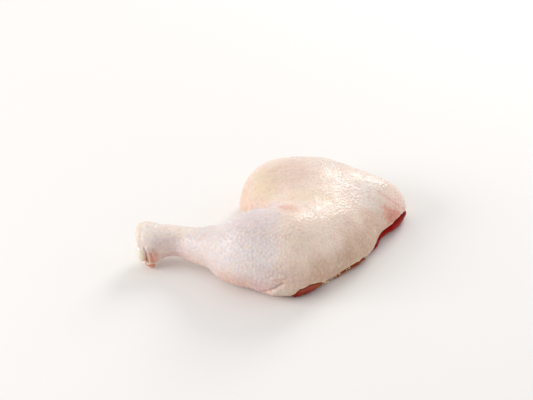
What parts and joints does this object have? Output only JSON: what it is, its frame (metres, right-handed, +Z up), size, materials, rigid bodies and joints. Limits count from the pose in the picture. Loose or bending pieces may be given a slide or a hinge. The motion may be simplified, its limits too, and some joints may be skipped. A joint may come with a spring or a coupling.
{
  "type": "raw chicken leg quarter",
  "caption": "Raw chicken leg quarter, joined drumstick and thigh, lying skin side up on its cut side, with the meat showing along the cut and a white joint end.",
  "frame": {"origin": "centre of the bounding box, on the surface the leg lies on", "axes": "+Z up from that surface; the drumstick points to -X and the thigh fills the +X side"},
  "size_m": [0.1952, 0.1462, 0.0508],
  "materials": {
    "skin": "moist, pimpled raw skin",
    "meat": "wet raw meat",
    "hock_cartilage": "wet glossy cartilage"
  },
  "bodies": {
    "root": {"skin": "skin", "meat": "meat", "hock_cartilage": "hock_cartilage"}
  },
  "joints": []
}
